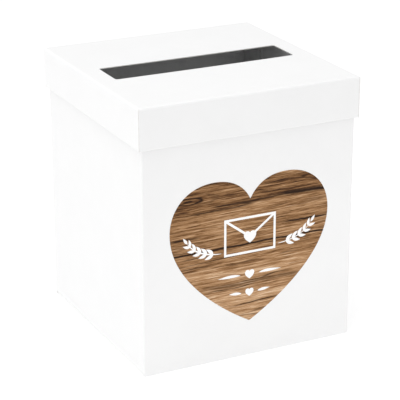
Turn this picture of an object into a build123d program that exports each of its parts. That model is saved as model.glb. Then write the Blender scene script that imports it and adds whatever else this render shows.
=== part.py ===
"""Wedding card box: a folding paperboard box with a lift-off lid that has a card slot, and a heart label.

Two creased blanks and one label. Each panel between two creases is a solid of its own, because a crease
is where the board turns and, at the base, where it swings.

Frame: millimetres, +Z up, origin at the middle of the base on the surface it stands on.
The front, with the label, faces -Y; +X is to its right as one looks at the front.
"""

import math
import os

from build123d import *

# ---- driving dimensions -------------------------------------------------------------------------------
# box body
BODY_WIDTH = 203.0  # outside, along X
BODY_DEPTH = 203.0  # outside, along Y
BODY_HEIGHT = 241.2  # from the surface to the walls' top edges
BOARD = 0.8  # paperboard thickness, body and lid
CREASE_RADIUS = 1.5  # outside radius of every folded edge
FLAP_CORNER_RELIEF = 3.0  # how far the base flaps stop short of the box's vertical edges

# glue flap, inside the right wall
GLUE_FLAP_WIDTH = 34.0
GLUE_FLAP_END_GAP = 6.0  # cut back from the walls' top and bottom edges
GLUE_FLAP_BEVEL = 12.0  # height of the slanted cut at its two ends

# closing flaps in the base
TUCK_HEIGHT = 16.0  # the tab at the base panel's free edge
TUCK_CORNER = 6.0  # rounding of the tab's two upper corners
TUCK_SIDE_GAP = 4.0  # tab to each side wall
TUCK_CLEARANCE = 0.25  # left to the front wall when the tab swings past it
DUST_FLAP_LENGTH = 78.0  # from the side wall's crease towards the middle
DUST_FLAP_TAPER = 8.0  # each long side slants in by this much
DUST_FLAP_GAP = 1.5  # dust flap to the back wall's fold, and to the tuck tab's fold

# lid
LID_SKIRT = 37.0  # outside height of the lid's sides
LID_SIDE_CLEARANCE = 0.9  # lining to body, left and right
LID_FRONT_CLEARANCE = 0.5  # lining to body, front and back
HEM_TOP_GAP = 1.5  # lining's upper edge to the underside of the lid's top
HEM_END_GAP = 0.3  # lining's ends to the neighbouring side
CORNER_TAB_LENGTH = 30.0
CORNER_TAB_GAP = 1.0  # tab's edges to the folds above and below it
CORNER_TAB_TAPER = 5.0  # the tab's free end is narrower by this much at each edge
CORNER_FOLD_RADIUS = 0.6  # where the front and back skirts turn behind the side skirts

# card slot in the lid's top
SLOT_LENGTH = 174.0
SLOT_WIDTH = 37.5
SLOT_CORNER = 2.5

# heart label on the front wall
LABEL_THICKNESS = 0.2
LABEL_DROP = 2.5  # the heart's middle to the middle of the front that shows below the lid
HEART_WIDTH = 153.2
HEART_HEIGHT = 133.9  # tip to the tops of the lobes
HEART_WIDEST = 93.0  # tip to the widest part, upwards
HEART_NOTCH = 19.9  # depth of the notch below the lobes
HEART_LOBE_X = 34.5  # top of a lobe, from the middle
HEART_TIP_ROUND = 1.5

# ---- worked out ---------------------------------------------------------------------------------------
INNER_RADIUS = CREASE_RADIUS - BOARD
HALF_W = BODY_WIDTH / 2
HALF_D = BODY_DEPTH / 2
SIDE_LAYERS = 3 * BOARD  # skirt, corner tab and lining
FRONT_LAYERS = 2 * BOARD  # skirt and lining
LID_HALF_W = HALF_W + LID_SIDE_CLEARANCE + SIDE_LAYERS
LID_HALF_D = HALF_D + LID_FRONT_CLEARANCE + FRONT_LAYERS
LID_TOP_Z = BODY_HEIGHT + BOARD
LID_BOTTOM_Z = LID_TOP_Z - LID_SKIRT
HEART_TIP_Z = LID_BOTTOM_Z / 2 - LABEL_DROP - HEART_HEIGHT / 2
BASE_REACH = BODY_DEPTH - CREASE_RADIUS - BOARD  # the base panel's hinge to the front wall
TUCK_SWING = math.hypot(BASE_REACH, TUCK_HEIGHT) - BASE_REACH  # the tab's upper edge swings out by this
TUCK_Y = -HALF_D + BOARD + TUCK_SWING + TUCK_CLEARANCE  # the tab's outer face
FAR = 4 * max(BODY_WIDTH, BODY_DEPTH, BODY_HEIGHT)  # size of cutting blocks, past everything

# the four sides, as the direction their outer face looks
FRONT, BACK, LEFT, RIGHT = (0, -1), (0, 1), (-1, 0), (1, 0)


# ---- small helpers ------------------------------------------------------------------------------------
def block(x, y, z):
    """A box between two places along each of X, Y and Z."""
    centre = [(a + b) / 2 for a, b in (x, y, z)]
    size = [abs(b - a) for a, b in (x, y, z)]
    return Pos(*centre) * Box(*size)


def plate(plane, outline, thickness):
    """A flat piece: a straight-sided outline on a plane, extruded along the plane's normal."""
    return extrude(plane * make_face(Polyline(*outline, close=True)), thickness)


def side_section(side, distance, z):
    """Plane across a side, at its middle: local x points into the box, local y up."""
    toward_x, toward_y = side
    return Plane(
        origin=(toward_x * distance, toward_y * distance, z),
        x_dir=(-toward_x, -toward_y, 0),
        z_dir=(-toward_y, toward_x, 0),
    )


def quarter_fold(radius, thickness):
    """Quarter ring that turns a panel from upright, at its left, to level, at its bottom."""
    ring = Circle(radius)
    if thickness < radius:
        ring -= Circle(radius - thickness)
    return ring & Pos(-radius, -radius) * Rectangle(2 * radius, 2 * radius)


# ---- body: four walls folded from one strip -----------------------------------------------------------
def wall_ring():
    """The four walls as one closed tube with rounded vertical folds."""
    outer = RectangleRounded(BODY_WIDTH, BODY_DEPTH, CREASE_RADIUS)
    inner = RectangleRounded(BODY_WIDTH - 2 * BOARD, BODY_DEPTH - 2 * BOARD, INNER_RADIUS)
    return extrude(outer - inner, BODY_HEIGHT)


def wedge(side):
    """Everything on one side of the box, out to the 45 degree lines through its two vertical folds."""
    toward_x, toward_y = side
    deep = min(HALF_W, HALF_D) / 2  # how far the wedge reaches into the box
    half, distance = (HALF_W, HALF_D) if toward_y else (HALF_D, HALF_W)
    plane = Plane(origin=(0, 0, 0), x_dir=(toward_y, -toward_x, 0), z_dir=(0, 0, 1))
    outline = [
        (-half - FAR, distance + FAR),
        (half + FAR, distance + FAR),
        (half - deep, distance - deep),
        (-half + deep, distance - deep),
    ]
    return extrude(plane * make_face(Polyline(*outline, close=True)), FAR, both=True)


def with_base_fold(wall, side, underside):
    """A wall whose lower edge, between the corner reliefs, turns inwards to carry a base flap."""
    toward_x, toward_y = side
    half, distance = (HALF_W, HALF_D) if toward_y else (HALF_D, HALF_W)
    run = half - FLAP_CORNER_RELIEF
    section = side_section(side, distance - CREASE_RADIUS, underside + CREASE_RADIUS)
    # local x from outside the wall to past its fold, local y from the fold's centre down
    cut = section * (Pos(0, -FAR / 2) * Rectangle(4 * CREASE_RADIUS, FAR))
    fold = section * quarter_fold(CREASE_RADIUS, BOARD)
    return wall - extrude(cut, run, both=True) + extrude(fold, run, both=True)


def make_walls():
    ring = wall_ring()
    return {
        "front_wall": ring & wedge(FRONT),
        "back_wall": with_base_fold(ring & wedge(BACK), BACK, 0),
        "left_wall": with_base_fold(ring & wedge(LEFT), LEFT, BOARD),
        "right_wall": with_base_fold(ring & wedge(RIGHT), RIGHT, BOARD),
    }


def glue_flap():
    """The strip that closes the tube: folded off the back wall and glued inside the right wall."""
    back = HALF_D - CREASE_RADIUS
    front = HALF_D - GLUE_FLAP_WIDTH
    low = 2 * BOARD + CREASE_RADIUS + GLUE_FLAP_END_GAP
    high = BODY_HEIGHT - GLUE_FLAP_END_GAP
    outline = [
        (back, low),
        (back, high),
        (front, high - GLUE_FLAP_BEVEL),
        (front, low + GLUE_FLAP_BEVEL),
    ]
    inner_face = Plane(origin=(HALF_W - 2 * BOARD, 0, 0), x_dir=(0, 1, 0), z_dir=(1, 0, 0))
    return plate(inner_face, outline, BOARD)


# ---- base: a panel with a tuck tab, and two dust flaps ------------------------------------------------
def base_panel():
    """Outermost bottom panel, hinged at the back wall's fold."""
    half = HALF_W - FLAP_CORNER_RELIEF
    return block((-half, half), (TUCK_Y + CREASE_RADIUS, HALF_D - CREASE_RADIUS), (0, BOARD))


def tuck_tab():
    """Tab folded up from the base panel's free edge, just inside the front wall."""
    half = HALF_W - BOARD - TUCK_SIDE_GAP
    section = side_section(FRONT, -TUCK_Y - CREASE_RADIUS, CREASE_RADIUS)
    fold = extrude(section * quarter_fold(CREASE_RADIUS, BOARD), half, both=True)
    upright = block((-half, half), (TUCK_Y, TUCK_Y + BOARD), (CREASE_RADIUS, TUCK_HEIGHT))
    tab = fold + upright
    return fillet(tab.edges().filter_by(Axis.Y).group_by(Axis.Z)[-1], TUCK_CORNER)


def dust_flap():
    """Left dust flap, level on the base panel; the right one is its mirror image."""
    crease = -HALF_W + CREASE_RADIUS
    tip = crease + DUST_FLAP_LENGTH
    back = HALF_D - CREASE_RADIUS - DUST_FLAP_GAP
    front = TUCK_Y + CREASE_RADIUS + DUST_FLAP_GAP
    outline = [
        (crease, front),
        (tip, front + DUST_FLAP_TAPER),
        (tip, back - DUST_FLAP_TAPER),
        (crease, back),
    ]
    return plate(Plane.XY.offset(BOARD), outline, BOARD)


# ---- heart label --------------------------------------------------------------------------------------
def heart_half():
    """The heart's right half from its tip up: notch to lobe, lobe to widest point, and down to the tip."""
    half = HEART_WIDTH / 2
    lobe_width = half - HEART_LOBE_X
    lobe_rise = HEART_HEIGHT - HEART_WIDEST
    notch, lobe = (0, HEART_HEIGHT - HEART_NOTCH), (HEART_LOBE_X, HEART_HEIGHT)
    widest, tip = (half, HEART_WIDEST), (0, 0)
    inner = Bezier(
        notch,
        (0.17 * HEART_LOBE_X, notch[1] + 0.29 * lobe_rise),
        (0.49 * HEART_LOBE_X, HEART_HEIGHT),
        lobe,
    )
    outer = Bezier(
        lobe,
        (HEART_LOBE_X + 0.61 * lobe_width, HEART_HEIGHT),
        (half, HEART_WIDEST + 0.57 * lobe_rise),
        widest,
    )
    side = Bezier(widest, (half, 0.57 * HEART_WIDEST), (0.43 * half, 0.2 * HEART_WIDEST), tip)
    return Curve() + [inner, outer, side]


def heart_label():
    right = heart_half()
    heart = make_face((right + mirror(right, about=Plane.YZ)).edges())
    heart = fillet(heart.vertices().sort_by(Axis.Y)[0], HEART_TIP_ROUND)
    front_face = Plane(origin=(0, -HALF_D, HEART_TIP_Z), x_dir=(1, 0, 0), z_dir=(0, -1, 0))
    return extrude(front_face * heart, LABEL_THICKNESS)


# ---- lid: a tray with double sides, folded from one blank ---------------------------------------------
def lid_tray():
    """Top and four outer sides as one tray with rounded upper folds."""
    outer = block((-LID_HALF_W, LID_HALF_W), (-LID_HALF_D, LID_HALF_D), (LID_BOTTOM_Z, LID_TOP_Z))
    outer = fillet(outer.faces().sort_by(Axis.Z)[-1].edges(), CREASE_RADIUS)
    inner_w, inner_d = LID_HALF_W - BOARD, LID_HALF_D - BOARD
    inner = block((-inner_w, inner_w), (-inner_d, inner_d), (LID_BOTTOM_Z - BOARD, BODY_HEIGHT))
    inner = fillet(inner.faces().sort_by(Axis.Z)[-1].edges(), INNER_RADIUS)
    return outer - inner


def lid_top_zone():
    """The space above the 45 degree planes through the lid's upper folds."""
    spread = 2 * CREASE_RADIUS
    low_w, low_d = LID_HALF_W - CREASE_RADIUS, LID_HALF_D - CREASE_RADIUS
    low = Pos(0, 0, LID_TOP_Z - CREASE_RADIUS) * Rectangle(2 * low_w, 2 * low_d)
    high = Pos(0, 0, LID_TOP_Z - CREASE_RADIUS + spread) * Rectangle(
        2 * (low_w + spread), 2 * (low_d + spread)
    )
    return loft([low, high])


def slot_cutter():
    outline = RectangleRounded(SLOT_LENGTH, SLOT_WIDTH, SLOT_CORNER)
    return Pos(0, 0, LID_BOTTOM_Z) * extrude(outline, 2 * LID_SKIRT)


def with_lower_fold(skirt, side, distance, half, gap):
    """A skirt whose lower edge is the outer half of the fold that carries its lining, gap away."""
    radius = gap / 2 + BOARD
    section = side_section(side, distance - radius, LID_BOTTOM_Z + radius)
    below = block((-FAR, FAR), (-FAR, FAR), (LID_BOTTOM_Z - FAR, LID_BOTTOM_Z + radius))
    return skirt - below + extrude(section * quarter_fold(radius, BOARD), half, both=True)


def lid_top_and_skirts():
    tray = lid_tray()
    zone = lid_top_zone()
    sides = tray - zone
    front_half = LID_HALF_W - BOARD  # the side skirts cover the ends of the front and back skirts
    height = (LID_BOTTOM_Z - BOARD, LID_TOP_Z + BOARD)

    front = sides & block((-front_half, front_half), (-FAR, -LID_HALF_D + CREASE_RADIUS), height)
    front = with_lower_fold(front, FRONT, LID_HALF_D, front_half, 0)
    corner_folds = RectangleRounded(2 * front_half, 2 * LID_HALF_D, CORNER_FOLD_RADIUS)
    front = front & extrude(corner_folds, FAR)
    back = mirror(front, about=Plane.XZ)

    right = sides & block((LID_HALF_W - CREASE_RADIUS, FAR), (-FAR, FAR), height)
    right = with_lower_fold(right, RIGHT, LID_HALF_W, LID_HALF_D, BOARD) - front - back
    return {
        "lid_top": (tray & zone) - slot_cutter(),
        "lid_front_skirt": front,
        "lid_back_skirt": back,
        "lid_right_skirt": right,
        "lid_left_skirt": mirror(right, about=Plane.YZ),
    }


def hem_section(gap):
    """A lining's section: local x from its inner face towards its skirt, local y up from the lid's edge."""
    radius = gap / 2 + BOARD
    height = LID_SKIRT - BOARD - HEM_TOP_GAP
    upright = Pos(BOARD / 2, (height + radius) / 2) * Rectangle(BOARD, height - radius)
    return upright + Pos(radius, radius) * quarter_fold(radius, BOARD)


def lid_hems():
    """The linings: each side's board folded in and up behind its skirt."""
    front_inner = LID_HALF_D - FRONT_LAYERS
    side_inner = LID_HALF_W - SIDE_LAYERS
    front_plane = Plane(origin=(0, -front_inner, LID_BOTTOM_Z), x_dir=(0, -1, 0), z_dir=(-1, 0, 0))
    side_plane = Plane(origin=(side_inner, 0, LID_BOTTOM_Z), x_dir=(1, 0, 0), z_dir=(0, -1, 0))
    front = extrude(front_plane * hem_section(0), side_inner - HEM_END_GAP, both=True)
    right = extrude(side_plane * hem_section(BOARD), LID_HALF_D - BOARD - HEM_END_GAP, both=True)
    return {
        "lid_front_hem": front,
        "lid_back_hem": mirror(front, about=Plane.XZ),
        "lid_right_hem": right,
        "lid_left_hem": mirror(right, about=Plane.YZ),
    }


def lid_corner_tabs():
    """Tabs from the front and back skirts, held between a side skirt and its lining."""
    start = LID_HALF_D - BOARD
    end = start - CORNER_TAB_LENGTH
    low = LID_BOTTOM_Z + 1.5 * BOARD + CORNER_TAB_GAP
    high = LID_TOP_Z - CREASE_RADIUS - CORNER_TAB_GAP
    outline = [
        (start, low),
        (start, high),
        (end, high - CORNER_TAB_TAPER),
        (end, low + CORNER_TAB_TAPER),
    ]
    inner_face = Plane(origin=(LID_HALF_W - 2 * BOARD, 0, 0), x_dir=(0, 1, 0), z_dir=(1, 0, 0))
    back_right = plate(inner_face, outline, BOARD)
    return {
        "lid_corner_tab_back_right": back_right,
        "lid_corner_tab_back_left": mirror(back_right, about=Plane.YZ),
        "lid_corner_tab_front_right": mirror(back_right, about=Plane.XZ),
        "lid_corner_tab_front_left": Rot(0, 0, 180) * back_right,
    }


# ---- all the parts ------------------------------------------------------------------------------------
def make_parts():
    left_flap = dust_flap()
    return {
        **make_walls(),
        "glue_flap": glue_flap(),
        "heart_label": heart_label(),
        "base_panel": base_panel(),
        "base_tuck_tab": tuck_tab(),
        "left_dust_flap": left_flap,
        "right_dust_flap": mirror(left_flap, about=Plane.YZ),
        **lid_top_and_skirts(),
        **lid_hems(),
        **lid_corner_tabs(),
    }


os.makedirs("parts", exist_ok=True)
for node, shape in make_parts().items():
    export_step(shape, f"parts/{node}.step")
    print(f"{node:28s} {len(shape.solids())} solid, {shape.volume:9.1f} mm3")
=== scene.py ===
"""Looks of a wedding card box: white folded paperboard, a lift-off lid with a card slot, a printed heart.

Sizes in the classes are millimetres. Meshes are in metres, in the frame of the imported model: the origin is
at the middle of the base on the surface it stands on, the front with the label faces -Y, and +Z is up.
"""

import logging
from dataclasses import dataclass, field
from enum import Enum
from functools import partial
from typing import Any, Callable, Sequence

import bmesh
import bpy
import numpy as np
from bpy.types import Material, Node, NodeOutputs, NodeSocket, NodeTree, Object
from mathutils import Matrix, Vector


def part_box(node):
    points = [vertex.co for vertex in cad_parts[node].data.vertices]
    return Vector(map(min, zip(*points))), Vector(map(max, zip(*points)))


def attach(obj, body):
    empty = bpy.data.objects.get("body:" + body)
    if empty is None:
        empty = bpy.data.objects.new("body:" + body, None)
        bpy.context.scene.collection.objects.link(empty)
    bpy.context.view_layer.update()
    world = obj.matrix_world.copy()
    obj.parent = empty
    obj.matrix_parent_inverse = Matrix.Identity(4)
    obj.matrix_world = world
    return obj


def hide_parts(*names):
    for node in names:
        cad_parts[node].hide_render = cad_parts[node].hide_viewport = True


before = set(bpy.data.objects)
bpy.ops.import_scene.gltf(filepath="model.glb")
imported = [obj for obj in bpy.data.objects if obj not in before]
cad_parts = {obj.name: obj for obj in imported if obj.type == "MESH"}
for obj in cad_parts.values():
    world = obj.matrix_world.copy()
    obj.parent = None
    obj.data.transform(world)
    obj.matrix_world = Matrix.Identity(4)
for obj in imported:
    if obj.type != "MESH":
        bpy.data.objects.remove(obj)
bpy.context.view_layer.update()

log = logging.getLogger("card_box")

MM = 0.001  # metres in a millimetre
WELD = 2e-6  # points closer than this, in metres, are one point
MARGIN = 0.6  # mm; a row or column this close to a fold keeps the flat beside it looking flat
MATH = "ShaderNodeMath"
SHARP_ANGLE = 30  # degrees; a cut edge is sharper than this, a step of a fold is not


# ---- small helpers -----------------------------------------------------------------------------------
def linear(colour: str) -> tuple[float, float, float, float]:
    """Turns an sRGB hex colour, such as "#EDEDEC", into linear red, green, blue and alpha."""
    srgb = np.array([int(colour[i : i + 2], 16) for i in (1, 3, 5)]) / 255
    light = np.where(srgb <= 0.04045, srgb / 12.92, ((srgb + 0.055) / 1.055) ** 2.4)
    return (*light.tolist(), 1.0)


def extent(node: str) -> tuple[np.ndarray, np.ndarray]:
    """Lowest and highest corner of a CAD node at rest, in millimetres."""
    low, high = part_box(node)
    return np.array(low) / MM, np.array(high) / MM


def link_object(name: str, data: bpy.types.ID) -> Object:
    """Puts a new object with this data into the scene."""
    made = bpy.data.objects.new(name, data)
    bpy.context.scene.collection.objects.link(made)
    return made


def add_node(
    tree: NodeTree,
    kind: str,
    inputs: dict[str | int, Any] | Sequence[Any] = (),
    stops: Sequence[tuple[float, str]] = (),
    **settings: Any,
) -> Node:
    """Adds a node with its settings, input values and links.

    Args:
        tree: The node tree it goes into.
        kind: Blender's name of the node type.
        inputs: Values by input name or number, or in order. A socket is linked, and so is a node, by its
            first live output.
        stops: A colour ramp's positions and hex colours.
        **settings: Properties of the node itself.

    Returns:
        The new node.
    """
    node = tree.nodes.new(kind)
    for name, value in settings.items():
        setattr(node, name, value)
    for key, value in inputs.items() if isinstance(inputs, dict) else enumerate(inputs):
        if isinstance(value, Node):
            value = next(socket for socket in value.outputs if socket.enabled)
        if isinstance(value, NodeSocket):
            tree.links.new(value, node.inputs[key])
        else:
            node.inputs[key].default_value = value
    if stops:
        elements = node.color_ramp.elements
        while len(elements) < len(stops):
            elements.new(1.0)
        for element, (position, colour) in zip(elements, stops):
            element.position = position
            element.color = linear(colour)
    return node


def new_material(name: str) -> tuple[Material, NodeTree]:
    """An empty node material and its tree."""
    material = bpy.data.materials.new(name)
    material.use_nodes = True
    material.node_tree.nodes.clear()
    return material, material.node_tree


def finish_shader(tree: NodeTree, inputs: dict[str | int, Any]) -> None:
    """Ends a material with a Principled shader that has these inputs, and the output."""
    shader = add_node(tree, "ShaderNodeBsdfPrincipled", inputs)
    add_node(tree, "ShaderNodeOutputMaterial", {"Surface": shader})


# ---- finishes ----------------------------------------------------------------------------------------
@dataclass(frozen=True)
class PaperFinish:
    """A surface of paper or board: one colour, clouded by its pulp, with its fibres as a low relief."""

    name: str  # what the surface is
    colour: str  # its colour where the pulp is even
    cloud_colour: str  # its colour where the pulp is thin
    fold_colour: str  # its colour where it was bent
    roughness: float  # of the flat surface
    fibre: float  # width of a fibre bundle, mm
    relief: float  # height of the fibres, mm
    cloud: float = 28.0  # width of a cloud in the pulp, mm
    pulp: tuple[float, float] = (0.38, 0.6)  # the cloud noise where the pulp is thin, and where it is even
    break_up: float = 0.2  # how much rougher a fold is, where bending broke the coating up
    bump: float = 0.35  # strength of the relief

    def material(self) -> Material:
        """Builds the node material."""
        material, tree = new_material(self.name)
        add = partial(add_node, tree)
        place = add("ShaderNodeTexCoord").outputs["Object"]
        fold = add("ShaderNodeAttribute", attribute_name="fold").outputs["Fac"]
        cloud, fibre = (
            add("ShaderNodeTexNoise", {"Vector": place, "Scale": 1 / (size * MM), "Detail": 5.0})
            for size in (self.cloud, self.fibre)
        )
        stops = tuple(zip(self.pulp, (self.cloud_colour, self.colour)))
        pulp = add("ShaderNodeValToRGB", (cloud,), stops)
        mixing = {"Factor": fold, 6: pulp, 7: linear(self.fold_colour)}
        bent = min(1.0, self.roughness + self.break_up)
        rougher = {"Value": fold, "To Min": self.roughness, "To Max": bent}
        bumps = {"Height": fibre, "Strength": self.bump, "Distance": self.relief * MM}
        finish_shader(
            tree,
            {
                "Base Color": add("ShaderNodeMix", mixing, data_type="RGBA"),
                "Roughness": add("ShaderNodeMapRange", rougher),
                "Normal": add("ShaderNodeBump", bumps),
                "IOR": 1.5,
            },
        )
        return material


@dataclass(frozen=True)
class Plank:
    """The printed plank inside a material: what its patterns are worked out from."""

    add: Callable[..., Node]  # adds a node to the material
    position: Node  # the point in millimetres
    axes: NodeOutputs  # its X, Y and Z


@dataclass(frozen=True)
class Grain:
    """Noise stretched along the grain, centred on zero."""

    length: float  # of one streak, mm
    width: float  # of one streak, mm
    gain: float  # its range from lowest to highest
    detail: float  # how many finer noises it is made of
    seed: float  # where it is cut from the noise
    fineness: float = 0.66  # strength of each finer noise against the one before

    def pattern(self, plank: Plank) -> Node:
        """Adds the noise at the plank's position: the gain times (noise - 0.5)."""
        scale = (1 / self.length, 1.0, 1 / self.width)
        stretching = {"Vector": plank.position, "Location": (self.seed, 0.0, self.seed), "Scale": scale}
        stretched = plank.add("ShaderNodeMapping", stretching)
        noise = {"Vector": stretched, "Scale": 1.0, "Detail": self.detail, "Roughness": self.fineness}
        texture = plank.add("ShaderNodeTexNoise", noise)
        return plank.add(MATH, (texture, self.gain, -self.gain / 2), operation="MULTIPLY_ADD")


@dataclass(frozen=True)
class Knot:
    """A knot in the plank: dark oval rings, drawn out along the grain."""

    middle: tuple[float, float]  # X and height, mm
    half: tuple[float, float]  # half length and half height, mm
    rings: float  # dark rings from its middle to its outline
    depth: float  # how dark they are, from 0 to 1

    def darkness(self, plank: Plank, unrest: Node) -> Node:
        """Adds the knot's rings.

        With d as the distance from the middle in half sizes, plus the unrest, the darkness is the depth
        times (0.5 + 0.5 cos(2 pi rings d)) squared, over 1 + d^4.

        Args:
            plank: Where it is worked out.
            unrest: Noise that keeps the rings from being true ovals.

        Returns:
            The darkness, from 0 to 1.
        """
        add = plank.add
        scale = (1 / self.half[0], 0.0, 1 / self.half[1])
        shift = (-self.middle[0] * scale[0], 0.0, -self.middle[1] * scale[2])
        oval = add("ShaderNodeMapping", {"Vector": plank.position, "Location": shift, "Scale": scale})
        true_distance = add("ShaderNodeVectorMath", (oval,), operation="LENGTH")
        distance = add(MATH, (true_distance, unrest), operation="ADD")
        turn = add(MATH, (distance, 2 * np.pi * self.rings), operation="MULTIPLY")
        wave = add(MATH, (add(MATH, (turn,), operation="COSINE"), 0.5, 0.5), operation="MULTIPLY_ADD")
        ring = add(MATH, (wave, 2.0), operation="POWER")
        fade = add(MATH, (add(MATH, (distance, 4.0), operation="POWER"), 1.0), operation="ADD")
        faded = add(MATH, (ring, fade), operation="DIVIDE")
        return add(MATH, (faded, self.depth), operation="MULTIPLY")


@dataclass(frozen=True)
class Split:
    """A dark line along the grain, where the plank has split."""

    height: float  # at the label's middle, mm
    slope: float  # its rise over its run
    start: float  # X where it starts, mm
    end: float  # X where it ends, mm
    half: float  # half thickness, mm
    depth: float  # how dark it is, from 0 to 1
    fade: float = 14.0  # over how far its ends fade, mm

    def darkness(self, plank: Plank, waver: Node, ragged: Node) -> Node:
        """Adds the line: its depth times a bell across it, and times a soft start and end along it.

        The bell is 1 over 1 + t^4, with t as the distance from the line in half thicknesses. The start and
        end each rise from 0 to 1 over the fade.

        Args:
            plank: Where it is worked out.
            waver: How far the line strays, mm.
            ragged: Noise that breaks it up.

        Returns:
            The darkness, from 0 to 1.
        """
        add, x = plank.add, plank.axes["X"]
        above = add(MATH, (plank.axes["Z"], waver), operation="ADD")
        sloped = add(MATH, (x, -self.slope, above), operation="MULTIPLY_ADD")
        off = add(MATH, (sloped, 1 / self.half, -self.height / self.half), operation="MULTIPLY_ADD")
        steep = add(MATH, (add(MATH, (off, 4.0), operation="POWER"), 1.0), operation="ADD")
        begun, ending = (
            add(MATH, (x, rise, -rise * at), operation="MULTIPLY_ADD", use_clamp=True)
            for at, rise in ((self.start, 1 / self.fade), (self.end, -1 / self.fade))
        )
        along = add(MATH, (add(MATH, (begun, ending), operation="MULTIPLY"), ragged), operation="MULTIPLY")
        bell = add(MATH, (along, steep), operation="DIVIDE")
        return add(MATH, (bell, self.depth), operation="MULTIPLY", use_clamp=True)


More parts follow.
